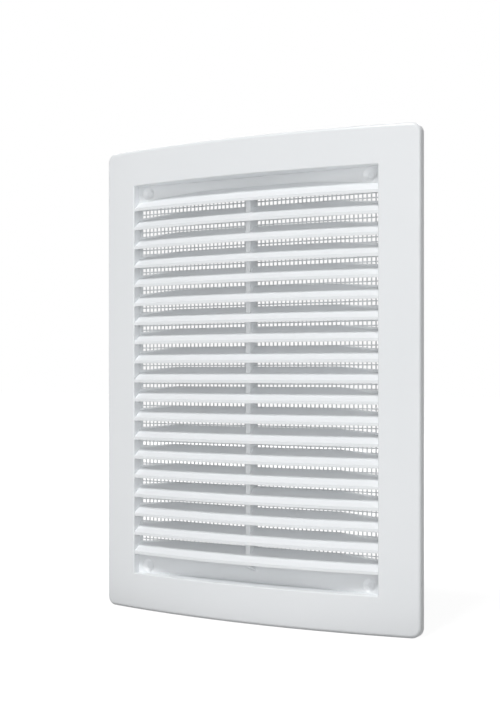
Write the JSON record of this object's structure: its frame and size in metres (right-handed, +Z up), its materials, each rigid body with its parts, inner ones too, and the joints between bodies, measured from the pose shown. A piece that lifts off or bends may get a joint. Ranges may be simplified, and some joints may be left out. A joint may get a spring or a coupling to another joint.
{
  "type": "exhaust grille",
  "caption": "White moulded plastic exhaust grille with an arched front, swept horizontal louvres and a fine insect net behind them.",
  "frame": {"origin": "centre of the four screw bosses on the wall plane, which is the middle of the back", "axes": "+X right seen from the room, +Y into the wall, +Z up"},
  "size_m": [0.188, 0.0147, 0.251],
  "materials": {
    "white_abs": "moulded ABS, light satin gloss",
    "white_net": "moulded net, satin"
  },
  "bodies": {
    "root": {"grille_body": "white_abs", "insect_mesh": "white_net"}
  },
  "joints": []
}
